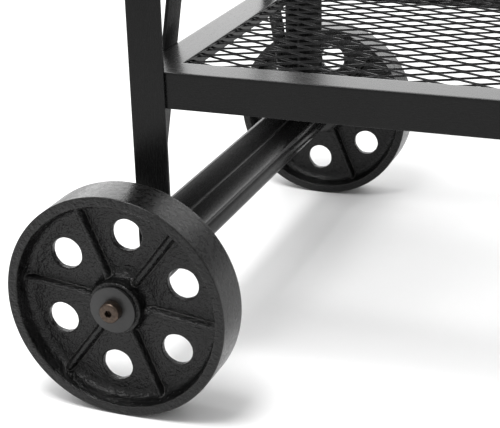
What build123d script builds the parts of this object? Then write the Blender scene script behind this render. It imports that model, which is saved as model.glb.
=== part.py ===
from build123d import *
import math
import os

# Two-wheeled, two-tier plant trolley.  Millimetres, +X along the trolley towards the handle,
# +Z up, origin on the floor under the middle of the bounding box.  "Front" is the -Y side.

# ---- driving dimensions -------------------------------------------------------------------
WHEEL_RADIUS = 100.0
WHEEL_WIDTH = 40.0
TRACK_HALF = 297.5          # centre plane to the outer face of a wheel rim
FRAME_LENGTH = 778.0        # over the legs
FRAME_HALF_DEPTH = 211.0    # centre plane to the outer face of a leg
FLANGE = 31.75              # leg and rail angle iron, 1 1/4 inch
STEEL = 3.2                 # thickness of all angle iron and flat bar, 1/8 inch
LOWER_TOP = 281.0           # top face of the lower tier
UPPER_TOP = 690.0           # top face of the upper tier, level with the leg tops
BEAM_FLANGE = 30.0          # cross beams low between the legs

HANDLE_REACH = 97.0         # legs to the far edge of the handle
HANDLE_RADIUS = 13.0
HANDLE_HEIGHT = 668.0
AXLE_SETBACK = 15.0         # end face of the legs to the axle

AXLE_X = WHEEL_RADIUS - (WHEEL_RADIUS - AXLE_SETBACK + FRAME_LENGTH + HANDLE_REACH) / 2
AXLE_Z = WHEEL_RADIUS
LEFT = AXLE_X - AXLE_SETBACK        # outer faces of the frame
RIGHT = LEFT + FRAME_LENGTH

# ---- axle and hub, measured inwards from the outer face of the rim ------------------------
TUBE_RADIUS = 14.0
TUBE_WALL = 3.0
HUB_START = 2.0
HUB_END = 42.0
HUB_RADIUS = 23.5
END_PLAY = 0.3
WASHER_RADIUS = 20.5
WASHER_THICK = 3.0
SHOULDER_RADIUS = 6.0
SCREW_THREAD_RADIUS = 5.0
SCREW_THREAD_LENGTH = 20.0
SCREW_HEAD_RADIUS = 9.0
SCREW_HEAD_HEIGHT = 8.0
SCREW_HEAD_CHAMFER = 1.3
HEX_ACROSS_FLATS = 6.0
HEX_DEPTH = 5.0
BUSH_OUTER_RADIUS = 9.0
BUSH_CLEARANCE = 0.05
PLUG_LENGTH = 26.0
HEAD_SEAT = HUB_START - END_PLAY - WASHER_THICK
TUBE_START = HUB_END + END_PLAY + WASHER_THICK

# ---- wheel casting ------------------------------------------------------------------------
LIP_RADIUS = 91.5
WEB_THICK = 7.0
HOLE_COUNT = 6
HOLE_RADIUS = 14.0
HOLE_CIRCLE_RADIUS = 62.0
FIRST_HOLE_ANGLE = 22.4     # from +X towards +Z, at rest
RIB_WIDTH = 7.0
RIB_HEIGHT = 7.0

# ---- expanded mesh ------------------------------------------------------------------------
MESH_PITCH_X = 41.0
MESH_PITCH_Y = 22.3
STRAND = 3.2
MESH_THICK = 3.0
MESH_GAP = 1.0
SUPPORT_WIDTH = 25.0

# ---- braces -------------------------------------------------------------------------------
BRACE_SLOPE = 0.37          # sideways run per unit of height
BRACE_RUN = 30.1            # width of the bar measured level
BRACE_OFFSET_AT_200 = 35.8  # leg's outer face to the bar's outer edge, 200 above the floor

# ---- feet and handle ----------------------------------------------------------------------
FOOT_PAD_RADIUS = 16.0
FOOT_PAD_HEIGHT = 10.0
FOOT_PLATE_SIZE = 36.0
FOOT_STUD_RADIUS = 4.0
FOOT_CENTRE = 17.0          # leg's outer faces to the middle of the foot
FOOT_NUT_RADIUS = 7.0
FOOT_NUT_HEIGHT = 6.0
ARM_HEIGHT = 32.0
ARM_LAP = 64.0              # handle's centre line down to the foot of the arm
ARM_SCREW_EDGE = 14.0
ARM_SCREW_RADIUS = 4.0
ARM_SCREW_HEAD_RADIUS = 6.5
ARM_SCREW_HEAD_HEIGHT = 5.0
ARM_NUT_RADIUS = 7.0
ARM_NUT_HEIGHT = 6.5
ARM_SCREW_PITCH = 22.0
ARM_WASHER_RADIUS = 8.0
ARM_WASHER_THICK = 1.6

parts = {}


def plate_xy(points, low, high):
    """A plate whose outline lies in the XY plane, between two heights."""
    face = make_face(Polyline(*points, close=True))
    return extrude(Pos(0, 0, low) * face, amount=high - low)


def box_between(low, high):
    """A block from its lowest corner to its highest corner."""
    size = [b - a for a, b in zip(low, high)]
    middle = [(a + b) / 2 for a, b in zip(low, high)]
    return Pos(*middle) * Box(*size)


def rod_y(x, z, y_start, y_end, radius):
    """A round bar along Y."""
    middle = Pos(x, (y_start + y_end) / 2, z)
    return middle * Rot(90, 0, 0) * Cylinder(radius, abs(y_end - y_start))


def tube_y(x, z, y_start, y_end, outer, inner):
    """A round tube or ring along Y."""
    low, high = sorted((y_start, y_end))
    return rod_y(x, z, low, high, outer) - rod_y(x, z, low - 1, high + 1, inner)


def hexagon_y(x, z, y_start, y_end, radius):
    """A hexagonal bar along Y, by its corner radius."""
    low, high = sorted((y_start, y_end))
    face = RegularPolygon(radius, 6)
    return Pos(x, high, z) * Rot(90, 0, 0) * extrude(face, amount=high - low)


def rod_z(x, y, z_start, z_end, radius):
    """A round bar along Z."""
    return Pos(x, y, (z_start + z_end) / 2) * Cylinder(radius, z_end - z_start)


def leg(x_side, y_side, foot_height):
    """Angle-iron leg.  Its corner points outwards and its flanges lie along both frame faces."""
    x_face = LEFT if x_side < 0 else RIGHT
    y_face = y_side * FRAME_HALF_DEPTH

    def corner(run_x, run_y):
        return (x_face - x_side * run_x, y_face - y_side * run_y)

    outline = [
        corner(0, 0),
        corner(FLANGE, 0),
        corner(FLANGE, STEEL),
        corner(STEEL, STEEL),
        corner(STEEL, FLANGE),
        corner(0, FLANGE),
    ]
    return plate_xy(outline, foot_height, UPPER_TOP)


def axle_leg(y_side):
    """Leg at the wheel end: its foot is coped to sit over the axle tube."""
    cope_height = AXLE_Z + 6.0
    y_face = y_side * FRAME_HALF_DEPTH
    cutter = rod_y(AXLE_X, AXLE_Z, y_face - FLANGE * 2, y_face + FLANGE * 2, TUBE_RADIUS)
    return leg(-1, y_side, cope_height) - cutter


def long_rail(y_side, top):
    """Angle-iron rail along X: upright flange outside, mitred flat flange on top."""
    x0 = LEFT + STEEL
    x1 = RIGHT - STEEL
    y0 = y_side * (FRAME_HALF_DEPTH - STEEL)

    def trapezoid(width):
        y1 = y0 - y_side * width
        return [(x0, y0), (x1, y0), (x1 - width, y1), (x0 + width, y1)]

    upright = plate_xy(trapezoid(STEEL), top - FLANGE, top)
    flat = plate_xy(trapezoid(FLANGE), top - STEEL, top)
    return upright + flat


def end_rail(x_side, top):
    """Angle-iron rail along Y, mitred to the long rails."""
    y0 = FRAME_HALF_DEPTH - STEEL
    x0 = LEFT + STEEL if x_side < 0 else RIGHT - STEEL

    def trapezoid(width):
        x1 = x0 - x_side * width
        return [(x0, -y0), (x0, y0), (x1, y0 - width), (x1, width - y0)]

    upright = plate_xy(trapezoid(STEEL), top - FLANGE, top)
    flat = plate_xy(trapezoid(FLANGE), top - STEEL, top)
    return upright + flat


def mesh_sheet(top):
    """Expanded-metal sheet under the flat flanges: rows of diamonds, alternate rows staggered."""
    high = top - STEEL
    x_low = LEFT + 2 * STEEL + MESH_GAP
    x_high = RIGHT - 2 * STEEL - MESH_GAP
    y_high = FRAME_HALF_DEPTH - 2 * STEEL - MESH_GAP
    x_middle = (x_low + x_high) / 2
    half_x = MESH_PITCH_X / 2 - STRAND
    half_y = half_x * MESH_PITCH_Y / MESH_PITCH_X
    columns = math.floor((x_high - x_low) / MESH_PITCH_X) * 2
    rows = math.floor(2 * y_high / MESH_PITCH_Y) * 2
    outline = [(x_low, -y_high), (x_high, -y_high), (x_high, y_high), (x_low, y_high)]
    holes = []
    for row in range(-rows // 2 + 1, rows // 2):
        for column in range(-columns // 2 + 1, columns // 2):
            if (row + column) % 2:
                continue
            x = x_middle + column * MESH_PITCH_X / 2
            y = row * MESH_PITCH_Y / 2
            diamond = [(x - half_x, y), (x, y - half_y), (x + half_x, y), (x, y + half_y)]
            holes.append(Wire.make_polygon(diamond))
    sheet = Face(Wire.make_polygon(outline), holes)
    return extrude(Pos(0, 0, high - MESH_THICK) * sheet, amount=MESH_THICK, dir=(0, 0, 1))


def mesh_support(top):
    """Flat bar across the middle, under the mesh."""
    high = top - STEEL - MESH_THICK
    middle = (LEFT + RIGHT) / 2
    y_face = FRAME_HALF_DEPTH - 2 * STEEL
    low_corner = (middle - SUPPORT_WIDTH / 2, -y_face, high - STEEL)
    return box_between(low_corner, (middle + SUPPORT_WIDTH / 2, y_face, high))


def cross_beam(x_side):
    """Angle iron low between two legs: upright flange against the legs, flat flange inwards."""
    low = AXLE_Z + TUBE_RADIUS
    x0 = LEFT + STEEL if x_side < 0 else RIGHT - STEEL
    y_face = FRAME_HALF_DEPTH - STEEL

    def plate(run, height):
        x1 = x0 - x_side * run
        return box_between((min(x0, x1), -y_face, low), (max(x0, x1), y_face, low + height))

    return plate(STEEL, BEAM_FLANGE) + plate(BEAM_FLANGE, STEEL)


def brace(x_side, y_side):
    """Flat bar leaning from the foot of a leg up to the middle of the upper end rail.

    It lies in the thickness of the leg's flange.  One end is cut upright along that flange,
    the other along the centre plane, where it meets its mirror image on the rail's face.
    """
    leg_edge = FRAME_HALF_DEPTH - FLANGE
    outer_at_200 = FRAME_HALF_DEPTH - BRACE_OFFSET_AT_200

    def height_where(y, shift):
        return 200.0 + (outer_at_200 - shift - y) / BRACE_SLOPE

    outline = [
        (leg_edge, height_where(leg_edge, BRACE_RUN)),
        (0.0, height_where(0.0, BRACE_RUN)),
        (0.0, height_where(0.0, 0.0)),
        (leg_edge, height_where(leg_edge, 0.0)),
    ]
    x_low = LEFT if x_side < 0 else RIGHT - STEEL
    points = [(x_low, y_side * y, z) for y, z in outline]
    face = make_face(Polyline(*points, close=True))
    return extrude(face, amount=STEEL, dir=(1, 0, 0))


def inwards(y_side, distance):
    """Y of a point a distance inwards from a wheel's outer rim face."""
    return y_side * (TRACK_HALF - distance)


def axle_tube():
    half = TRACK_HALF - TUBE_START
    return tube_y(AXLE_X, AXLE_Z, -half, half, TUBE_RADIUS, TUBE_RADIUS - TUBE_WALL)


def axle_plug(y_side):
    """Threaded plug pressed into the end of the axle tube."""
    y0 = inwards(y_side, TUBE_START)
    y1 = inwards(y_side, TUBE_START + PLUG_LENGTH)
    plug = rod_y(AXLE_X, AXLE_Z, y0, y1, TUBE_RADIUS - TUBE_WALL)
    tapped_end = inwards(y_side, TUBE_START + SCREW_THREAD_LENGTH)
    return plug - rod_y(AXLE_X, AXLE_Z, y0 + y_side, tapped_end, SCREW_THREAD_RADIUS)


def axle_screw(y_side):
    """Socket shoulder screw: the wheel turns on its shoulder."""
    head_face = inwards(y_side, HEAD_SEAT - SCREW_HEAD_HEIGHT)
    seat = inwards(y_side, HEAD_SEAT)
    shoulder_end = inwards(y_side, TUBE_START)
    thread_end = inwards(y_side, TUBE_START + SCREW_THREAD_LENGTH)
    screw = rod_y(AXLE_X, AXLE_Z, head_face, seat, SCREW_HEAD_RADIUS)
    outer_rim = screw.edges().filter_by(GeomType.CIRCLE).sort_by(Axis.Y)[0 if y_side < 0 else -1]
    screw = chamfer(outer_rim, SCREW_HEAD_CHAMFER)
    screw += rod_y(AXLE_X, AXLE_Z, seat, shoulder_end, SHOULDER_RADIUS)
    screw += rod_y(AXLE_X, AXLE_Z, shoulder_end, thread_end, SCREW_THREAD_RADIUS)
    corner_radius = HEX_ACROSS_FLATS / math.sqrt(3)
    socket_end = inwards(y_side, HEAD_SEAT - SCREW_HEAD_HEIGHT + HEX_DEPTH)
    return screw - hexagon_y(AXLE_X, AXLE_Z, head_face + y_side, socket_end, corner_radius)


def washer_at(y_side, start):
    """Flat washer on the shoulder, starting a distance inwards from the rim face."""
    y0 = inwards(y_side, start)
    y1 = inwards(y_side, start + WASHER_THICK)
    return tube_y(AXLE_X, AXLE_Z, y0, y1, WASHER_RADIUS, SHOULDER_RADIUS + 0.3)


def wheel(y_side):
    """Cast wheel: flat tread, recessed web with holes and ribs, stepped hub."""
    middle = WHEEL_WIDTH / 2
    web_face = middle - WEB_THICK / 2
    bore = BUSH_OUTER_RADIUS
    edge_break = 1.5
    # half section in (radius, distance inwards), outer side first
    outer_side = [
        (bore, HUB_START),
        (HUB_RADIUS - edge_break, HUB_START),
        (HUB_RADIUS, HUB_START + edge_break),
        (HUB_RADIUS + 1.5, web_face - 3.0),
        (HUB_RADIUS + 4.5, web_face),
        (LIP_RADIUS - 9.0, web_face),
        (LIP_RADIUS - 3.5, web_face - 5.0),
        (LIP_RADIUS, edge_break),
        (LIP_RADIUS + edge_break, 0.0),
        (WHEEL_RADIUS - edge_break, 0.0),
        (WHEEL_RADIUS, edge_break),
    ]
    inner_side = [(radius, WHEEL_WIDTH - depth) for radius, depth in reversed(outer_side)]
    inner_side[-2:] = [(HUB_RADIUS, HUB_END), (bore, HUB_END)]
    section = make_face(Polyline(*(outer_side + inner_side), close=True))
    body = revolve(section, axis=Axis.Y)
    # the far wheel is this casting turned about, so its pattern starts the other way
    first_turn = y_side * FIRST_HOLE_ANGLE
    for index in range(HOLE_COUNT):
        hole_turn = Rot(0, first_turn + index * 360 / HOLE_COUNT, 0)
        drill = Rot(90, 0, 0) * Cylinder(HOLE_RADIUS, WHEEL_WIDTH)
        body -= hole_turn * Pos(HOLE_CIRCLE_RADIUS, middle, 0) * drill
    for index in range(HOLE_COUNT):
        rib_turn = Rot(0, first_turn + (index + 0.5) * 360 / HOLE_COUNT, 0)
        low = (HUB_RADIUS, web_face - RIB_HEIGHT, -RIB_WIDTH / 2)
        high = (LIP_RADIUS - 0.5, WHEEL_WIDTH - web_face + RIB_HEIGHT, RIB_WIDTH / 2)
        body += rib_turn * box_between(low, high)
    # the profile is drawn with the outer face at Y = 0 and the hub behind it
    if y_side < 0:
        return Pos(AXLE_X, -TRACK_HALF, AXLE_Z) * body
    return Pos(AXLE_X, TRACK_HALF, AXLE_Z) * Rot(0, 0, 180) * body


def wheel_bush(y_side):
    """Plain bush pressed into the hub, running on the screw's shoulder."""
    y0 = inwards(y_side, HUB_START)
    y1 = inwards(y_side, HUB_END)
    inner = SHOULDER_RADIUS + BUSH_CLEARANCE
    return tube_y(AXLE_X, AXLE_Z, y0, y1, BUSH_OUTER_RADIUS, inner)


def foot_position(y_side):
    """Middle of the foot under a handle-end leg."""
    return RIGHT - FOOT_CENTRE, y_side * (FRAME_HALF_DEPTH - FOOT_CENTRE)


def foot_plate(y_side):
    """Square plate that closes the bottom of a leg."""
    x, y = foot_position(y_side)
    half = FOOT_PLATE_SIZE / 2
    plate_top = FOOT_PAD_HEIGHT + STEEL
    plate = box_between((x - half, y - half, FOOT_PAD_HEIGHT), (x + half, y + half, plate_top))
    return plate - rod_z(x, y, 0, 2 * plate_top, FOOT_STUD_RADIUS + 0.25)


def foot_pad(y_side):
    """Moulded rubber pad with a chamfered rim."""
    x, y = foot_position(y_side)
    pad = rod_z(x, y, 0, FOOT_PAD_HEIGHT, FOOT_PAD_RADIUS)
    pad = chamfer(pad.edges().group_by(Axis.Z)[0], 1.5)
    return pad - rod_z(x, y, FOOT_PAD_HEIGHT / 2, FOOT_PAD_HEIGHT + 1, FOOT_STUD_RADIUS)


def foot_studs():
    """Threaded studs moulded into the pads."""
    studs = []
    top = FOOT_PAD_HEIGHT + STEEL + FOOT_NUT_HEIGHT + 4.0
    for y_side in (-1, 1):
        x, y = foot_position(y_side)
        studs.append(rod_z(x, y, FOOT_PAD_HEIGHT / 2, top, FOOT_STUD_RADIUS))
    return Compound(children=studs)


def foot_nuts():
    nuts = []
    low = FOOT_PAD_HEIGHT + STEEL
    for y_side in (-1, 1):
        x, y = foot_position(y_side)
        nut = Pos(x, y, low) * extrude(RegularPolygon(FOOT_NUT_RADIUS, 6), amount=FOOT_NUT_HEIGHT)
        nuts.append(nut - rod_z(x, y, low - 1, low + 2 * FOOT_NUT_HEIGHT, FOOT_STUD_RADIUS))
    return Compound(children=nuts)


def arm_screw_places():
    """(x, z) of the two screws that hold each handle arm to its leg, below the upper rail."""
    x = RIGHT - (FLANGE + STEEL) / 2
    lowest = HANDLE_HEIGHT - ARM_LAP + ARM_SCREW_EDGE
    return [(x, lowest), (x, lowest + ARM_SCREW_PITCH)]


def handle_arm(y_side):
    """Flat bar bolted outside a leg: an upright tail and a forward reach with a round end."""
    y0 = y_side * FRAME_HALF_DEPTH
    y1 = y0 + y_side * STEEL
    low_y, high_y = min(y0, y1), max(y0, y1)
    bar_x = RIGHT + HANDLE_REACH - HANDLE_RADIUS - 3.0
    half = ARM_HEIGHT / 2
    x_low = RIGHT - FLANGE
    reach = box_between((x_low, low_y, HANDLE_HEIGHT - half), (bar_x, high_y, HANDLE_HEIGHT + half))
    tail = box_between((x_low, low_y, HANDLE_HEIGHT - ARM_LAP), (RIGHT, high_y, HANDLE_HEIGHT))
    arm = reach + tail + rod_y(bar_x, HANDLE_HEIGHT, low_y, high_y, half)
    for x, z in arm_screw_places():
        arm -= rod_y(x, z, low_y - 1, high_y + 1, ARM_SCREW_RADIUS + 0.25)
    return arm - rod_y(bar_x, HANDLE_HEIGHT, low_y - 1, high_y + 1, ARM_SCREW_RADIUS + 0.25)


def handle_bar():
    """Round tube between the arms."""
    bar_x = RIGHT + HANDLE_REACH - HANDLE_RADIUS - 3.0
    half = FRAME_HALF_DEPTH
    return tube_y(bar_x, HANDLE_HEIGHT, -half, half, HANDLE_RADIUS, HANDLE_RADIUS - 2.0)


def handle_plugs():
    """Threaded plugs in the ends of the handle tube."""
    bar_x = RIGHT + HANDLE_REACH - HANDLE_RADIUS - 3.0
    plugs = []
    for y_side in (-1, 1):
        y0 = y_side * FRAME_HALF_DEPTH
        y1 = y0 - y_side * 20.0
        plug = rod_y(bar_x, HANDLE_HEIGHT, y0, y1, HANDLE_RADIUS - 2.0)
        plugs.append(plug - rod_y(bar_x, HANDLE_HEIGHT, y0 + y_side, y1 - y_side, ARM_SCREW_RADIUS))
    return Compound(children=plugs)


def cap_screw(x, z, y_side, y_seat, y_end):
    """Socket-head cap screw along Y with its head on the outside."""
    head_face = y_seat + y_side * ARM_SCREW_HEAD_HEIGHT
    screw = rod_y(x, z, y_seat, head_face, ARM_SCREW_HEAD_RADIUS)
    screw += rod_y(x, z, y_seat, y_end, ARM_SCREW_RADIUS)
    return screw - hexagon_y(x, z, head_face + y_side, head_face - y_side * 2.5, 3.0)


def handle_bar_screws():
    bar_x = RIGHT + HANDLE_REACH - HANDLE_RADIUS - 3.0
    screws = []
    for y_side in (-1, 1):
        y_seat = y_side * (FRAME_HALF_DEPTH + STEEL)
        y_end = y_seat - y_side * (STEEL + 16.0)
        screws.append(cap_screw(bar_x, HANDLE_HEIGHT, y_side, y_seat, y_end))
    return Compound(children=screws)


def arm_screws():
    screws = []
    for y_side in (-1, 1):
        y_seat = y_side * (FRAME_HALF_DEPTH + STEEL)
        y_end = y_seat - y_side * (2 * STEEL + ARM_WASHER_THICK + ARM_NUT_HEIGHT + 2.0)
        for x, z in arm_screw_places():
            screws.append(cap_screw(x, z, y_side, y_seat, y_end))
    return Compound(children=screws)


def arm_washers():
    washers = []
    for y_side in (-1, 1):
        y0 = y_side * (FRAME_HALF_DEPTH - STEEL)
        y1 = y0 - y_side * ARM_WASHER_THICK
        for x, z in arm_screw_places():
            washers.append(tube_y(x, z, y0, y1, ARM_WASHER_RADIUS, ARM_SCREW_RADIUS + 0.2))
    return Compound(children=washers)


def arm_nuts():
    nuts = []
    for y_side in (-1, 1):
        y0 = y_side * (FRAME_HALF_DEPTH - STEEL - ARM_WASHER_THICK)
        y1 = y0 - y_side * ARM_NUT_HEIGHT
        for x, z in arm_screw_places():
            nut = hexagon_y(x, z, y0, y1, ARM_NUT_RADIUS)
            nuts.append(nut - rod_y(x, z, y0 + y_side, y1 - y_side, ARM_SCREW_RADIUS))
    return Compound(children=nuts)


def drill_arm_holes(leg_solid, y_side):
    """Clearance holes for the handle arm's screws."""
    y_face = y_side * FRAME_HALF_DEPTH
    for x, z in arm_screw_places():
        y_inside = y_face - y_side * (STEEL + 2.0)
        leg_solid -= rod_y(x, z, y_face + y_side, y_inside, ARM_SCREW_RADIUS + 0.25)
    return leg_solid


for y_side, side_name in ((-1, "front"), (1, "rear")):
    parts[f"leg_wheel_end_{side_name}"] = axle_leg(y_side)
    handle_leg = leg(1, y_side, FOOT_PAD_HEIGHT + STEEL)
    parts[f"leg_handle_end_{side_name}"] = drill_arm_holes(handle_leg, y_side)
    for top, tier in ((LOWER_TOP, "lower"), (UPPER_TOP, "upper")):
        parts[f"{tier}_rail_{side_name}"] = long_rail(y_side, top)
    for x_side, end_name in ((-1, "wheel_end"), (1, "handle_end")):
        parts[f"brace_{end_name}_{side_name}"] = brace(x_side, y_side)
    parts[f"wheel_{side_name}"] = wheel(y_side)
    parts[f"wheel_bush_{side_name}"] = wheel_bush(y_side)
    parts[f"axle_screw_{side_name}"] = axle_screw(y_side)
    parts[f"axle_plug_{side_name}"] = axle_plug(y_side)
    parts[f"hub_washer_outer_{side_name}"] = washer_at(y_side, HEAD_SEAT)
    parts[f"hub_washer_inner_{side_name}"] = washer_at(y_side, HUB_END + END_PLAY)
    parts[f"foot_plate_{side_name}"] = foot_plate(y_side)
    parts[f"foot_pad_{side_name}"] = foot_pad(y_side)
    parts[f"handle_arm_{side_name}"] = handle_arm(y_side)

for top, tier in ((LOWER_TOP, "lower"), (UPPER_TOP, "upper")):
    parts[f"{tier}_rail_wheel_end"] = end_rail(-1, top)
    parts[f"{tier}_rail_handle_end"] = end_rail(1, top)
    parts[f"{tier}_mesh"] = mesh_sheet(top)
    parts[f"{tier}_mesh_support"] = mesh_support(top)

parts["axle_beam"] = cross_beam(-1)
parts["foot_beam"] = cross_beam(1)
parts["axle_tube"] = axle_tube()
parts["foot_studs"] = foot_studs()
parts["foot_nuts"] = foot_nuts()
parts["handle_bar"] = handle_bar()
parts["handle_plugs"] = handle_plugs()
parts["handle_bar_screws"] = handle_bar_screws()
parts["arm_screws"] = arm_screws()
parts["arm_washers"] = arm_washers()
parts["arm_nuts"] = arm_nuts()

os.makedirs("parts", exist_ok=True)
for name, solid in parts.items():
    export_step(solid, f"parts/{name}.step")
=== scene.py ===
"""Plant trolley: angle-iron frame, expanded-metal shelves and cast wheels, built around the frame."""
import math

import bmesh
import bpy
import numpy as np
from mathutils import Matrix, Vector, noise


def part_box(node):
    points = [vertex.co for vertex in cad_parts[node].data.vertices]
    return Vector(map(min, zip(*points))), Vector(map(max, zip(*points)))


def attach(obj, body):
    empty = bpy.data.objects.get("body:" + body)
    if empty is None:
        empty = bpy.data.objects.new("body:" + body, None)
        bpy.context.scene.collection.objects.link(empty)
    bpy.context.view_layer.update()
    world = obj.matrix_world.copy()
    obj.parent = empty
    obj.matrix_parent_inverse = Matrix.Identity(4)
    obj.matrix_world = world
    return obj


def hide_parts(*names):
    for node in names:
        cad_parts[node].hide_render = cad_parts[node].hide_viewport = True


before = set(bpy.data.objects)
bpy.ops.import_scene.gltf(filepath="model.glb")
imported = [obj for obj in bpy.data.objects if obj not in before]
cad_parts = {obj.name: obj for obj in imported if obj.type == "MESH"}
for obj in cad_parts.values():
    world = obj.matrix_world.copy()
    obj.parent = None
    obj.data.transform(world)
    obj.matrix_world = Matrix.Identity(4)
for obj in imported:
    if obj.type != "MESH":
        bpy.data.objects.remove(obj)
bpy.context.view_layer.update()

MM = 0.001

# ---- sizes read from the frame ---------------------------------------------------------------
WHEEL_LOW, WHEEL_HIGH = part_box("wheel_front")
WHEEL_RADIUS = (WHEEL_HIGH.x - WHEEL_LOW.x) / 2
AXLE_X = (WHEEL_HIGH.x + WHEEL_LOW.x) / 2
AXLE_Z = (WHEEL_HIGH.z + WHEEL_LOW.z) / 2
RIM_FACE_Y = WHEEL_LOW.y
TUBE_LOW, TUBE_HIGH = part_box("axle_tube")
TUBE_RADIUS = (TUBE_HIGH.x - TUBE_LOW.x) / 2

# ---- steel sections --------------------------------------------------------------------------
STEEL = 3.2 * MM
HEEL_RADIUS = 0.7 * MM
TOE_RADIUS = 0.8 * MM
ROOT_RADIUS = 3.2 * MM
ARRIS = 0.5 * MM
OUTLINE_STEP = 2.5 * MM                 # longest stretch of a section's outline

# ---- small hardware --------------------------------------------------------------------------
TUBE_WALL = 3 * MM
WASHER_EDGE = 0.4 * MM
SCREW_EDGE = 0.25 * MM
FASTENER_EDGE = 0.3 * MM

# ---- wheel casting ---------------------------------------------------------------------------
WHEEL_WIDTH = 40 * MM
HUB_FACE = 2 * MM
HUB_BACK = 42 * MM
BORE_RADIUS = 9 * MM
HUB_RADIUS = 23.5 * MM
LIP_RADIUS = 91.5 * MM
WEB_FACE = 16.5 * MM
HOLE_COUNT = 6
HOLE_RADIUS = 14 * MM
HOLE_CIRCLE = 62 * MM
HOLE_FLARE = 1.6 * MM                   # rounding of a hole's edges
WALL_DRAFT = 1.6 * MM                   # how far a cast wall leans over its height
HUB_FILLET = 6.5 * MM
LIP_FILLET = 7.5 * MM
HUB_EDGE = 1.6 * MM
LIP_EDGE = 1.3 * MM
TREAD_EDGE = 1.0 * MM
FIRST_HOLE = math.radians(22.4)
RIB_HALF_WIDTH = 3.6 * MM
RIB_HEIGHT = 6.5 * MM
RIB_BLEND = 2.4 * MM
RIB_ROUNDNESS = 3.2                     # power of the rib's crown: a higher one is squarer
WHEEL_SEGMENTS = 900
LUMP_SIZE = 7 * MM                      # sand-cast skin: broad lumps with finer grit on them
LUMP_HEIGHT = 0.3 * MM
GRIT_SIZE = 2.2 * MM
GRIT_HEIGHT = 0.16 * MM
TURNED_SHARE = 0.18                     # how much of that skin is left on the turned rim

# ---- expanded metal --------------------------------------------------------------------------
DIAMOND_LONG = 41 * MM
DIAMOND_SHORT = 22.3 * MM
STRAND_WIDTH = 2.1 * MM
STRAND_THICK = 1.1 * MM
BOND_LENGTH = 4.0 * MM
BOND_TILT = math.radians(15)
STRAND_TILT = math.radians(42)
STRAND_CHAMFER = 0.3 * MM
BOND_OVERLAP = 0.1 * MM
STRAND_STEPS = [0.0, 0.12, 0.16, 0.3, 0.5, 0.7, 0.84, 0.88]     # shares of half a diamond


# ---- mesh helpers ----------------------------------------------------------------------------
def rounded(corners, steps=4):
    """Points of an outline whose corners are (a, b, radius): an arc stands for each corner."""
    points = []
    for index, (a, b, radius) in enumerate(corners):
        corner = Vector((a, b))
        before = Vector(corners[index - 1][:2])
        after = Vector(corners[(index + 1) % len(corners)][:2])
        if radius == 0:
            points.append(corner)
            continue
        back = (before - corner).normalized()
        forth = (after - corner).normalized()
        half = back.angle(forth) / 2
        reach = radius / math.tan(half)
        centre = corner + (back + forth).normalized() * radius / math.sin(half)
        start = corner + back * reach - centre
        sweep = start.angle_signed(corner + forth * reach - centre)
        for step in range(steps + 1):
            points.append(centre + turned(start, -sweep * step / steps))
    return points


def turned(vector, angle):
    """A plane vector turned anticlockwise."""
    cos, sin = math.cos(angle), math.sin(angle)
    return Vector((vector.x * cos - vector.y * sin, vector.x * sin + vector.y * cos))


def spaced(points, spacing, closed=True):
    """The same outline with no stretch longer than the spacing."""
    result = []
    count = len(points) if closed else len(points) - 1
    for index in range(count):
        start, end = points[index], points[(index + 1) % len(points)]
        pieces = max(1, math.ceil((end - start).length / spacing))
        result += [start.lerp(end, piece / pieces) for piece in range(pieces)]
    return result if closed else result + [points[-1]]


def new_piece(name, vertices, faces):
    """A mesh object in the scene."""
    mesh = bpy.data.meshes.new(name)
    mesh.from_pydata(vertices, [], faces)
    mesh.validate()
    piece = bpy.data.objects.new(name, mesh)
    bpy.context.scene.collection.objects.link(piece)
    return piece


def grid_faces(rows, columns, wrap_rows, wrap_columns):
    """Quads over a grid of vertices numbered row by row."""
    row_ends = rows if wrap_rows else rows - 1
    column_ends = columns if wrap_columns else columns - 1
    faces = []
    for row in range(row_ends):
        for column in range(column_ends):
            across = (column + 1) % columns
            down = (row + 1) % rows
            faces.append((row * columns + column, row * columns + across,
                          down * columns + across, down * columns + column))
    return faces


def clean(piece, angle=35, merge=1e-7):
    """Joins doubled vertices, turns every face outwards and shades the curved faces smooth."""
    shape = bmesh.new()
    shape.from_mesh(piece.data)
    bmesh.ops.remove_doubles(shape, verts=shape.verts, dist=merge)
    bmesh.ops.recalc_face_normals(shape, faces=shape.faces)
    shape.to_mesh(piece.data)
    shape.free()
    piece.data.shade_smooth()
    piece.data.set_sharp_from_angle(angle=math.radians(angle))
    return piece


def apply_modifiers(piece):
    """The piece keeps the mesh that its modifiers make."""
    depsgraph = bpy.context.evaluated_depsgraph_get()
    mesh = bpy.data.meshes.new_from_object(piece.evaluated_get(depsgraph))
    piece.modifiers.clear()
    piece.data = mesh
    return piece


def turned_piece(name, outline, segments):
    """A piece turned about Y from an outline in (radius, y).  An end at radius 0 closes on the axis."""
    on_axis = outline[0].x == 0 and outline[-1].x == 0
    vertices = []
    for turn in range(segments):
        angle = 2 * math.pi * turn / segments
        vertices += [(p.x * math.cos(angle), p.y, p.x * math.sin(angle)) for p in outline]
    faces = grid_faces(segments, len(outline), True, not on_axis)
    return clean(new_piece(name, vertices, faces))


def placed(piece, matrix):
    """The piece's mesh moved to its place, with its object left at the origin."""
    piece.data.transform(matrix)
    return piece


def finish_piece(piece, body, slot, material, *nodes):
    """Gives a piece its body, its material and the CAD nodes that it stands for.  The slot is not used."""
    piece.data.materials.clear()
    piece.data.materials.append(material)
    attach(piece, body)
    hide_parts(*nodes)
    return piece


# ---- materials -------------------------------------------------------------------------------
def shader(name):
    """A new material and its node tree."""
    material = bpy.data.materials.new(name)
    material.use_nodes = True
    return material, material.node_tree


def add_node(tree, kind, inputs=(), **settings):
    """A node with its settings, and its inputs set or linked by name."""
    node = tree.nodes.new(kind)
    for key, value in settings.items():
        setattr(node, key, value)
    for key, value in dict(inputs).items():
        if isinstance(value, bpy.types.NodeSocket):
            tree.links.new(value, node.inputs[key])
        else:
            node.inputs[key].default_value = value
    return node


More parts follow.
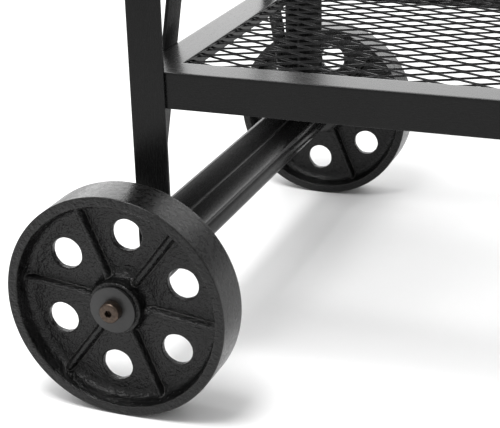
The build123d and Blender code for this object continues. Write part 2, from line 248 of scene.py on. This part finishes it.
def noise_value(tree, scale, stretch=(1, 1, 1), detail=3.0, roughness=0.5):
    """Noise over the piece's own coordinates, stretched along an axis by a small factor there."""
    place = add_node(tree, "ShaderNodeTexCoord").outputs["Object"]
    mapped = add_node(tree, "ShaderNodeMapping", {"Vector": place, "Scale": stretch})
    texture = add_node(tree, "ShaderNodeTexNoise", {
        "Vector": mapped.outputs["Vector"], "Scale": scale, "Detail": detail, "Roughness": roughness})
    return texture.outputs["Fac"]


def between(tree, value, low_in, high_in, low_out, high_out):
    """A value carried from one range to another, and held inside it."""
    node = add_node(tree, "ShaderNodeMapRange", {
        "Value": value, "From Min": low_in, "From Max": high_in, "To Min": low_out, "To Max": high_out})
    return node.outputs["Result"]


def mixed_colour(tree, factor, first, second):
    """Two colours, or linked colour sockets, mixed by a linked factor."""
    node = add_node(tree, "ShaderNodeMix", data_type="RGBA")
    tree.links.new(factor, node.inputs["Factor"])
    for socket, value in ((node.inputs[6], first), (node.inputs[7], second)):
        if isinstance(value, bpy.types.NodeSocket):
            tree.links.new(value, socket)
        else:
            socket.default_value = (*value, 1.0)
    return node.outputs[2]


def arris_mask(tree, radius):
    """1 on outward edges and 0 on flat faces: how far the rounded normal leaves the real one."""
    soft = add_node(tree, "ShaderNodeBevel", {"Radius": radius}, samples=4).outputs["Normal"]
    hard = add_node(tree, "ShaderNodeNewGeometry").outputs["Normal"]
    dot = add_node(tree, "ShaderNodeVectorMath", {0: soft, 1: hard}, operation="DOT_PRODUCT")
    return between(tree, dot.outputs["Value"], 0.995, 0.9, 0.0, 1.0)


def bumped(tree, height, strength, distance):
    """The surface normal bent by a height."""
    node = add_node(tree, "ShaderNodeBump", {"Height": height, "Strength": strength, "Distance": distance})
    return node.outputs["Normal"]


def surface(tree, colour, roughness, normal, **constants):
    """Links what varies to the Principled shader, and sets the rest on its own sockets."""
    shader_node = tree.nodes["Principled BSDF"]
    tree.links.new(colour, shader_node.inputs["Base Color"])
    tree.links.new(roughness, shader_node.inputs["Roughness"])
    tree.links.new(normal, shader_node.inputs["Normal"])
    for name, value in constants.items():
        shader_node.inputs[name.replace("_", " ")].default_value = value


def brushed_paint(name, along, dark=0.003, light=0.006, rough=0.25, ior=1.26):
    """Satin black over drawn steel: faint streaks along one axis, and arrises painted slightly lighter as
    a highlight.
    """
    material, tree = shader(name)
    stretch = [1.0, 1.0, 1.0]
    stretch[along] = 0.1
    streaks = noise_value(tree, 1500.0, stretch, detail=3.0, roughness=0.6)
    patches = noise_value(tree, 18.0, detail=3.0)
    base = mixed_colour(tree, between(tree, streaks, 0.3, 0.7, 0.0, 1.0), (dark,) * 3, (light,) * 3)
    cloudy = mixed_colour(tree, between(tree, patches, 0.35, 0.7, 0.0, 0.35), base, (light * 1.3,) * 3)
    # painted highlight: the arrises are mixed towards a lighter grey, standing in for light caught on the
    # rounded edges
    highlighted = mixed_colour(tree, between(tree, arris_mask(tree, 0.9 * MM), 0, 1, 0, 0.5), cloudy,
                        (0.05, 0.05, 0.052))
    roughness = between(tree, streaks, 0.25, 0.75, rough - 0.02, rough + 0.05)
    surface(tree, highlighted, roughness, bumped(tree, streaks, 0.05, 0.03 * MM), IOR=ior)
    return material


def cast_iron(name, dark, light, rough, grain):
    """Black-painted casting: lumpy skin with fine grit, and arrises painted a little brighter as a
    highlight.
    """
    material, tree = shader(name)
    lumps = noise_value(tree, 260.0, detail=3.0, roughness=0.6)
    grit = add_node(tree, "ShaderNodeMath", {0: noise_value(tree, 700.0), 1: 0.4}, operation="MULTIPLY")
    tone = mixed_colour(tree, between(tree, lumps, 0.35, 0.7, 0.0, 1.0), (dark,) * 3, (light,) * 3)
    # painted highlight: the arrises are mixed towards a lighter grey, standing in for glints along the rim
    # and ribs
    arris_glint = mixed_colour(tree, between(tree, arris_mask(tree, 1.2 * MM), 0, 1, 0, 0.8), tone,
                          (0.06, 0.058, 0.055))
    height = add_node(tree, "ShaderNodeMath", {0: lumps, 1: grit.outputs[0]}, operation="ADD").outputs[0]
    roughness = between(tree, lumps, 0.3, 0.7, rough - 0.08, rough + 0.08)
    surface(tree, arris_glint, roughness, bumped(tree, height, grain, 1.6 * MM), IOR=1.36)
    return material


def plain_metal(name, dark, light, rough, metallic):
    """Machined or plated small hardware with faint mottling, and arrises painted lighter as a highlight.
    """
    material, tree = shader(name)
    mottle = noise_value(tree, 420.0, detail=4.0, roughness=0.6)
    tone = mixed_colour(tree, between(tree, mottle, 0.35, 0.65, 0.0, 1.0), dark, light)
    # painted highlight: the arrises take a colour about twice as light as the metal
    glint_colour = tuple(min(1.0, 2.2 * channel) for channel in light)
    highlighted = mixed_colour(tree, between(tree, arris_mask(tree, 0.5 * MM), 0, 1, 0, 0.7), tone, glint_colour)
    roughness = between(tree, mottle, 0.3, 0.7, rough - 0.06, rough + 0.08)
    surface(tree, highlighted, roughness, bumped(tree, mottle, 0.15, 0.05 * MM), Metallic=metallic)
    return material


def rubber(name):
    """Matt moulded rubber."""
    material, tree = shader(name)
    grain = noise_value(tree, 900.0, detail=2.0)
    tone = mixed_colour(tree, between(tree, grain, 0.3, 0.7, 0.0, 1.0), (0.008,) * 3, (0.018,) * 3)
    roughness = between(tree, grain, 0.3, 0.7, 0.7, 0.85)
    surface(tree, tone, roughness, bumped(tree, grain, 0.2, 0.08 * MM))
    return material


PAINT_X = brushed_paint("frame_black_x", 0)
PAINT_Y = brushed_paint("frame_black_y", 1)
PAINT_Z = brushed_paint("frame_black_z", 2)
MESH_PAINT = brushed_paint("mesh_black", 0, dark=0.002, light=0.005, rough=0.2, ior=1.3)
IRON = cast_iron("wheel_iron", 0.0015, 0.005, 0.2, 0.95)
TREAD = cast_iron("wheel_tread", 0.003, 0.008, 0.28, 0.12)
WASHER = plain_metal("washer_black", (0.007,) * 3, (0.013,) * 3, 0.42, 0.0)
SCREW = plain_metal("axle_screw_steel", (0.04, 0.03, 0.024), (0.085, 0.062, 0.048), 0.36, 0.85)
FASTENER = plain_metal("fastener_steel", (0.05,) * 3, (0.09,) * 3, 0.35, 0.8)
BRONZE = plain_metal("bush_bronze", (0.38, 0.24, 0.11), (0.55, 0.36, 0.18), 0.35, 1.0)
RUBBER = rubber("foot_rubber")


# ---- angle irons -----------------------------------------------------------------------------
def angle_section(wide, tall):
    """Outline of an angle iron in (u, v): its heel at (0, 0), one flange along u and one along v."""
    corners = [
        (0, 0, HEEL_RADIUS),
        (wide, 0, ARRIS),
        (wide, STEEL, TOE_RADIUS),
        (STEEL, STEEL, ROOT_RADIUS),
        (STEEL, tall, TOE_RADIUS),
        (0, tall, ARRIS),
    ]
    return spaced(rounded(corners), OUTLINE_STEP)


def angle_iron(name, heel, along_u, along_v, run, wide, tall, starts, ends):
    """An angle iron whose end cuts are functions of (u, v), measured along its run from the heel."""
    outline = angle_section(wide, tall)
    vertices = []
    for cut in (starts, ends):
        for p in outline:
            vertices.append(heel + along_u * p.x + along_v * p.y + run * cut(p.x, p.y))
    faces = grid_faces(2, len(outline), False, True)
    faces += [tuple(range(len(outline))), tuple(range(len(outline), 2 * len(outline)))]
    piece = new_piece(name, vertices, faces)
    shape = bmesh.new()
    shape.from_mesh(piece.data)
    caps = [face for face in shape.faces if len(face.verts) > 4]
    bmesh.ops.triangulate(shape, faces=caps)
    shape.to_mesh(piece.data)
    shape.free()
    return clean(piece, angle=25)


X, Y, Z = Vector((1, 0, 0)), Vector((0, 1, 0)), Vector((0, 0, 1))


def make_rails(shelf):
    """Four rails of one shelf, mitred at the corners."""
    for side, sign in (("front", 1), ("rear", -1)):
        node = f"{shelf}_rail_{side}"
        low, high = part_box(node)
        heel = Vector((low.x, low.y if sign > 0 else high.y, high.z))
        length = high.x - low.x
        rail = angle_iron(f"{node}_bar", heel, Y * sign, -Z, X, high.y - low.y, high.z - low.z,
                          lambda u, v: u, lambda u, v: length - u)
        finish_piece(rail, "frame", "frame_black", PAINT_X, node)
    for side, sign in (("wheel_end", 1), ("handle_end", -1)):
        node = f"{shelf}_rail_{side}"
        low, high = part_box(node)
        heel = Vector((low.x if sign > 0 else high.x, low.y, high.z))
        length = high.y - low.y
        rail = angle_iron(f"{node}_bar", heel, X * sign, -Z, Y, high.x - low.x, high.z - low.z,
                          lambda u, v: u, lambda u, v: length - u)
        finish_piece(rail, "frame", "frame_black", PAINT_Y, node)


def make_legs():
    """Four corner legs.  Those at the wheel end sit over the axle tube."""
    for end, x_sign in (("wheel_end", 1), ("handle_end", -1)):
        for side, y_sign in (("front", 1), ("rear", -1)):
            node = f"leg_{end}_{side}"
            low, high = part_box(node)
            heel_x = low.x if x_sign > 0 else high.x
            heel = Vector((heel_x, low.y if y_sign > 0 else high.y, low.z))
            foot = low.z

            def cope(u, v):
                offset = abs(heel_x + x_sign * u - AXLE_X)
                if offset >= TUBE_RADIUS:
                    return 0.0
                return max(0.0, AXLE_Z + math.sqrt(TUBE_RADIUS ** 2 - offset ** 2) - foot)

            height = high.z - low.z
            leg = angle_iron(f"{node}_bar", heel, X * x_sign, Y * y_sign, Z, high.x - low.x,
                             high.y - low.y, cope, lambda u, v: height)
            finish_piece(leg, "frame", "frame_black", PAINT_Z, node)


def make_beams():
    """Low cross beams between the legs, each with a level flange pointing inwards."""
    for node, sign in (("axle_beam", 1), ("foot_beam", -1)):
        low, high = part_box(node)
        heel = Vector((low.x if sign > 0 else high.x, low.y, low.z))
        length = high.y - low.y
        beam = angle_iron(f"{node}_bar", heel, X * sign, Z, Y, high.x - low.x, high.z - low.z,
                          lambda u, v: 0.0, lambda u, v: length)
        finish_piece(beam, "frame", "frame_black", PAINT_Y, node)


# ---- pieces whose CAD shape is right, with their arrises rounded -----------------------------
def softened(node, body, slot, material, width, steps=2):
    """A copy of a CAD piece with its flat faces made whole and its arrises rounded."""
    shape = bmesh.new()
    shape.from_mesh(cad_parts[node].data)
    bmesh.ops.remove_doubles(shape, verts=shape.verts, dist=1e-6)
    bmesh.ops.dissolve_limit(shape, angle_limit=math.radians(1), verts=shape.verts, edges=shape.edges)
    mesh = bpy.data.meshes.new(f"{node}_piece")
    shape.to_mesh(mesh)
    shape.free()
    piece = bpy.data.objects.new(f"{node}_piece", mesh)
    bpy.context.scene.collection.objects.link(piece)
    mesh.shade_smooth()
    bevel = piece.modifiers.new("arris", "BEVEL")
    bevel.width = width
    bevel.segments = steps
    bevel.limit_method = "ANGLE"
    bevel.angle_limit = math.radians(32)
    bevel.harden_normals = True
    apply_modifiers(piece)
    return finish_piece(piece, body, slot, material, node)


# ---- expanded metal --------------------------------------------------------------------------
def strand_section(tilt):
    """Tilted flat section of a strand, in (y, z), with small chamfers."""
    half_wide, half_thick, cut = STRAND_WIDTH / 2, STRAND_THICK / 2, STRAND_CHAMFER
    corners = []
    for sign_a, sign_b in ((1, -1), (1, 1), (-1, 1), (-1, -1)):
        first = (sign_a * half_wide, sign_b * (half_thick - cut))
        second = (sign_a * (half_wide - cut), sign_b * half_thick)
        corners += [first, second] if sign_a * sign_b < 0 else [second, first]
    cos, sin = math.cos(tilt), math.sin(tilt)
    # order the eight corners round the section
    ordered = sorted(corners, key=lambda c: math.atan2(c[1], c[0]))
    return [(a * cos - b * sin, a * sin + b * cos) for a, b in ordered]


def strip_point(distance, low_y, high_y, step_z):
    """Centre and tilt of a strip at a distance from a trough, over one half pitch."""
    half_pitch = DIAMOND_LONG / 2
    rise = (distance - BOND_LENGTH / 2) / (half_pitch - BOND_LENGTH)
    rise = min(1.0, max(0.0, rise))
    middle = math.sin(math.pi * min(1.0, max(0.0, distance / half_pitch)))
    tilt = BOND_TILT + (STRAND_TILT - BOND_TILT) * min(1.0, 1.35 * middle)
    return low_y + (high_y - low_y) * rise, step_z * (1 - 2 * rise), tilt


def make_mesh_sheet(node, flange_half_depth):
    """Raised expanded metal: zigzag strips side by side, joined where a peak meets a trough."""
    low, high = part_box(node)
    middle_x, middle_z = (low.x + high.x) / 2, (low.z + high.z) / 2
    row_pitch, half_pitch = DIAMOND_SHORT / 2, DIAMOND_LONG / 2
    rows = math.floor(flange_half_depth / row_pitch)
    half_bond = STRAND_WIDTH / 2 * math.cos(BOND_TILT) - BOND_OVERLAP
    step_z = STRAND_WIDTH / 2 * math.sin(BOND_TILT)
    first = math.floor((low.x - middle_x) / half_pitch)
    last = math.ceil((high.x - middle_x) / half_pitch)
    vertices, faces = [], []
    for row in range(-rows, rows):
        low_y = row * row_pitch + half_bond
        high_y = (row + 1) * row_pitch - half_bond
        rings = []
        for column in range(first, last):
            for share in STRAND_STEPS:
                x = middle_x + (column + share) * half_pitch
                if not low.x <= x <= high.x:
                    continue
                # lattice points where row + column is odd are bonds: a strip's troughs and peaks
                rising = (row + column) % 2 == 1
                distance = (share if rising else 1 - share) * half_pitch
                y, z, tilt = strip_point(distance, low_y, high_y, step_z)
                rings.append([(x, y + a, middle_z + z + b) for a, b in strand_section(tilt)])
        start = len(vertices)
        vertices += [point for ring in rings for point in ring]
        size = len(rings[0])
        quads = grid_faces(len(rings), size, False, True)
        faces += [tuple(start + index for index in quad) for quad in quads]
        last_ring = start + (len(rings) - 1) * size
        faces += [tuple(range(start, start + size)), tuple(range(last_ring, last_ring + size))]
    sheet = clean(new_piece(f"{node}_strands", vertices, faces), angle=30)
    return finish_piece(sheet, "frame", "mesh_black", MESH_PAINT, node)


# ---- wheels ----------------------------------------------------------------------------------
def smooth_min(first, second, blend):
    """The lower of two heights, with a fillet where they cross."""
    share = np.clip(0.5 + 0.5 * (second - first) / blend, 0, 1)
    return second * (1 - share) + first * share - blend * share * (1 - share)


def wheel_outline():
    """Section of the casting in (radius, depth from the outer rim face), with cast fillets."""
    outer = [
        (BORE_RADIUS, HUB_FACE, 0),
        (HUB_RADIUS, HUB_FACE, HUB_EDGE),
        (HUB_RADIUS + WALL_DRAFT, WEB_FACE, HUB_FILLET),
        (LIP_RADIUS - 2 * WALL_DRAFT, WEB_FACE, LIP_FILLET),
        (LIP_RADIUS, 0, LIP_EDGE),
        (WHEEL_RADIUS, 0, TREAD_EDGE),
    ]
    inner = [(radius, WHEEL_WIDTH - depth, bend) for radius, depth, bend in reversed(outer)]
    inner[-2:] = [(HUB_RADIUS, HUB_BACK, HUB_EDGE), (BORE_RADIUS, HUB_BACK, 0)]
    return spaced(rounded(outer + inner, steps=7), 1.3 * MM)


def raise_ribs(radius, depth, angle, first_hole):
    """Ribs midway between the holes, on both faces of the web."""
    gap = 2 * math.pi / HOLE_COUNT
    offset = (angle - first_hole) % gap - gap / 2
    across = np.abs(radius * np.sin(offset)) / RIB_HALF_WIDTH
    crest = WEB_FACE - RIB_HEIGHT + RIB_HEIGHT * across ** RIB_ROUNDNESS
    middle = WHEEL_WIDTH / 2
    on_web = (radius > HUB_RADIUS - 1 * MM) & (radius < LIP_RADIUS)
    outer = np.where(on_web & (depth < middle), smooth_min(depth, crest, RIB_BLEND), depth)
    back = WHEEL_WIDTH - outer
    return np.where(on_web & (depth > middle), WHEEL_WIDTH - smooth_min(back, crest, RIB_BLEND), outer)


def hole_cutter(name, matrix):
    """A spool that leaves a hole with rounded edges on both faces of the web."""
    middle = WHEEL_WIDTH / 2
    half_web = middle - WEB_FACE
    reach = 12 * MM
    side = []
    for step in range(7):
        swing = math.pi / 2 * step / 6
        side.append((HOLE_RADIUS + HOLE_FLARE * (1 - math.cos(swing)),
                     half_web - HOLE_FLARE + HOLE_FLARE * math.sin(swing)))
    wide = HOLE_RADIUS + HOLE_FLARE
    upper = [Vector((r, middle + d)) for r, d in side] + [Vector((wide + 1 * MM, middle + reach))]
    lower = [Vector((r, middle - d)) for r, d in reversed(side)]
    lower.insert(0, Vector((wide + 1 * MM, middle - reach)))
    outline = [Vector((0, middle - reach))] + lower + upper + [Vector((0, middle + reach))]
    return placed(turned_piece(name, outline, 72), matrix)


def cast_skin(piece, seed):
    """The lumpy skin of a sand casting, fading out on the turned rim."""
    count = len(piece.data.vertices)
    places = np.zeros(count * 3)
    piece.data.vertices.foreach_get("co", places)
    places = places.reshape(-1, 3)
    normals = np.zeros(count * 3)
    piece.data.vertices.foreach_get("normal", normals)
    normals = normals.reshape(-1, 3)
    radius = np.hypot(places[:, 0], places[:, 2])
    rough = np.clip((LIP_RADIUS + 1 * MM - radius) / (2 * MM), TURNED_SHARE, 1)
    shift = Vector((seed, 0, 0))
    lumps = np.array([noise.noise(Vector(p) / LUMP_SIZE + shift) for p in places])
    grit = np.array([noise.noise(Vector(p) / GRIT_SIZE + shift) for p in places])
    push = (LUMP_HEIGHT * lumps + GRIT_HEIGHT * grit) * rough
    on_tread = radius > WHEEL_RADIUS - 0.8 * MM
    push = np.where(on_tread, np.minimum(push, 0) * 0.4, push)
    places += normals * push[:, None]
    piece.data.vertices.foreach_set("co", places.ravel())
    piece.data.update()


def wheel_casting(name, first_hole, seed):
    """Rim, web, hub, ribs and holes in one casting, standing on its axle's line along Y."""
    outline = wheel_outline()
    radius = np.tile([p.x for p in outline], (WHEEL_SEGMENTS, 1))
    depth = np.tile([p.y for p in outline], (WHEEL_SEGMENTS, 1))
    angle = np.arange(WHEEL_SEGMENTS)[:, None] * 2 * math.pi / WHEEL_SEGMENTS
    depth = raise_ribs(radius, depth, angle, first_hole)
    vertices = np.stack([radius * np.cos(angle), depth, radius * np.sin(angle)], axis=-1).reshape(-1, 3)
    wheel = new_piece(name, vertices.tolist(), grid_faces(WHEEL_SEGMENTS, len(outline), True, True))
    clean(wheel, merge=1e-8)
    cutters = []
    for index in range(HOLE_COUNT):
        turn = first_hole + 2 * math.pi * index / HOLE_COUNT
        place = Vector((HOLE_CIRCLE * math.cos(turn), 0, HOLE_CIRCLE * math.sin(turn)))
        cutters.append(hole_cutter(f"{name}_cutter_{index}", Matrix.Translation(place)))
        cut = wheel.modifiers.new(f"hole_{index}", "BOOLEAN")
        cut.operation = "DIFFERENCE"
        cut.solver = "MANIFOLD"
        cut.object = cutters[-1]
    apply_modifiers(wheel)
    for cutter in cutters:
        bpy.data.objects.remove(cutter)
    cast_skin(wheel, seed)
    wheel.data.shade_smooth()
    return wheel


def paint_tread(wheel):
    """The turned tread and rim faces take the smoother finish."""
    wheel.data.materials.append(TREAD)
    for face in wheel.data.polygons:
        if math.hypot(face.center.x, face.center.z) > WHEEL_RADIUS - 1.2 * MM:
            face.material_index = 1


def make_wheels():
    """Two castings.  The rear one is turned about, so its pattern starts the other way."""
    turn_about = Matrix.Rotation(math.pi, 4, "Z")
    front = wheel_casting("wheel_front_casting", FIRST_HOLE, 3.0)
    rear = wheel_casting("wheel_rear_casting", -FIRST_HOLE, 11.0)
    for wheel, side, turn in ((front, "front", Matrix.Identity(4)), (rear, "rear", turn_about)):
        finish_piece(wheel, f"{side}_wheel", "wheel_iron", IRON, f"wheel_{side}")
        paint_tread(wheel)
        y_face = RIM_FACE_Y if side == "front" else -RIM_FACE_Y
        placed(wheel, Matrix.Translation((AXLE_X, y_face, AXLE_Z)) @ turn)


def make_axle():
    """Axle tube, with its open ends, and the washers and screws that hold the wheels."""
    outer, inner = TUBE_RADIUS, TUBE_RADIUS - TUBE_WALL
    section = [
        (outer, TUBE_LOW.y, ARRIS),
        (outer, TUBE_HIGH.y, ARRIS),
        (inner, TUBE_HIGH.y, ARRIS),
        (inner, TUBE_LOW.y, ARRIS),
    ]
    tube = turned_piece("axle_tube_bar", rounded(section), 96)
    placed(tube, Matrix.Translation((AXLE_X, 0, AXLE_Z)))
    finish_piece(tube, "frame", "frame_black", PAINT_Y, "axle_tube")
    for side in ("front", "rear"):
        for place in ("outer", "inner"):
            softened(f"hub_washer_{place}_{side}", "frame", "washer_black", WASHER, WASHER_EDGE, 3)
        softened(f"axle_screw_{side}", "frame", "axle_screw_steel", SCREW, SCREW_EDGE)


def make_small_parts():
    """Braces, mesh supports, handle, feet and their fasteners."""
    for end in ("wheel_end", "handle_end"):
        for side in ("front", "rear"):
            softened(f"brace_{end}_{side}", "frame", "frame_black", PAINT_Z, ARRIS)
    for shelf in ("lower", "upper"):
        softened(f"{shelf}_mesh_support", "frame", "frame_black", PAINT_Y, ARRIS)
    for side in ("front", "rear"):
        softened(f"handle_arm_{side}", "frame", "frame_black", PAINT_X, ARRIS)
        softened(f"foot_plate_{side}", "frame", "frame_black", PAINT_X, ARRIS)
        softened(f"foot_pad_{side}", "frame", "foot_rubber", RUBBER, ARRIS)
    softened("handle_bar", "frame", "frame_black", PAINT_Y, ARRIS)
    for node in ("foot_nuts", "arm_screws", "arm_washers", "arm_nuts", "handle_bar_screws"):
        softened(node, "frame", "fastener_steel", FASTENER, FASTENER_EDGE)


def colour_kept_nodes():
    """CAD nodes that stay as they are: they sit inside the other pieces."""
    special = {"wheel_bush_front": BRONZE, "wheel_bush_rear": BRONZE, "foot_studs": FASTENER}
    for node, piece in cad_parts.items():
        if piece.hide_render:
            continue
        for slot in piece.material_slots:
            slot.material = special.get(node, PAINT_Y)


# ---- studio ----------------------------------------------------------------------------------
CAMERA_PLACE = Vector((0.11817, -1.24130, 0.61023))
CAMERA_YAW = math.radians(21.559)       # to the left of +Y
CAMERA_DIP = math.radians(21.961)       # below level
CAMERA_ROLL = math.radians(-1.644)
CAMERA_LENS = 101.48                    # mm, on a 36 mm wide sensor


def make_camera():
    data = bpy.data.cameras.new("camera")
    data.sensor_width = 36.0
    data.lens = CAMERA_LENS
    data.clip_start = 0.01
    camera = bpy.data.objects.new("camera", data)
    bpy.context.scene.collection.objects.link(camera)
    level = Matrix.Rotation(CAMERA_YAW, 4, "Z") @ Matrix.Rotation(math.pi / 2 - CAMERA_DIP, 4, "X")
    camera.matrix_world = Matrix.Translation(CAMERA_PLACE) @ level @ Matrix.Rotation(CAMERA_ROLL, 4, "Z")
    bpy.context.scene.camera = camera


def soft_light(name, place, aim, width, height, power):
    """A panel light, in metres and watts."""
    data = bpy.data.lights.new(name, "AREA")
    data.shape = "RECTANGLE"
    data.size = width
    data.size_y = height
    data.energy = power
    light = bpy.data.objects.new(name, data)
    bpy.context.scene.collection.objects.link(light)
    light.location = place
    light.rotation_euler = (Vector(aim) - Vector(place)).to_track_quat("-Z", "Y").to_euler()
    light.visible_camera = False


def make_studio():
    """A pale floor, three soft panels and an even white surround."""
    half = 12.0
    corners = [(-half, -half, 0), (half, -half, 0), (half, half, 0), (-half, half, 0)]
    floor = new_piece("floor", corners, [(0, 1, 2, 3)])
    material, tree = shader("floor_paper")
    tone = noise_value(tree, 3.0, detail=2.0)
    colour = mixed_colour(tree, tone, (0.9, 0.9, 0.9), (0.92, 0.92, 0.92))
    roughness = between(tree, tone, 0, 1, 0.85, 0.9)
    surface(tree, colour, roughness, bumped(tree, tone, 0.01, 0.1 * MM))
    floor.data.materials.append(material)
    # the back panel brightens the level flanges, and the key picks out the ribs and fillets
    soft_light("back_panel", (-0.9, 3.4, 1.5), (-0.1, 0.0, 0.3), 4.5, 2.6, 84)
    soft_light("top_panel", (-0.9, -0.3, 2.6), (-0.1, 0.0, 0.2), 2.4, 2.4, 30)
    soft_light("key_panel", (-0.55, -0.8, 2.1), (-0.3, 0.0, 0.1), 0.8, 0.8, 34)
    world = bpy.data.worlds.new("studio")
    world.use_nodes = True
    world.node_tree.nodes["Background"].inputs["Color"].default_value = (1.0, 1.0, 1.0, 1.0)
    world.node_tree.nodes["Background"].inputs["Strength"].default_value = 0.66
    bpy.context.scene.world = world
    bpy.context.scene.view_settings.view_transform = "Standard"


# ---- build -----------------------------------------------------------------------------------
make_camera()
make_studio()
make_wheels()
make_axle()
make_legs()
for shelf in ("lower", "upper"):
    make_rails(shelf)
    make_mesh_sheet(f"{shelf}_mesh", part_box(f"{shelf}_mesh")[1].y)
make_beams()
make_small_parts()
colour_kept_nodes()
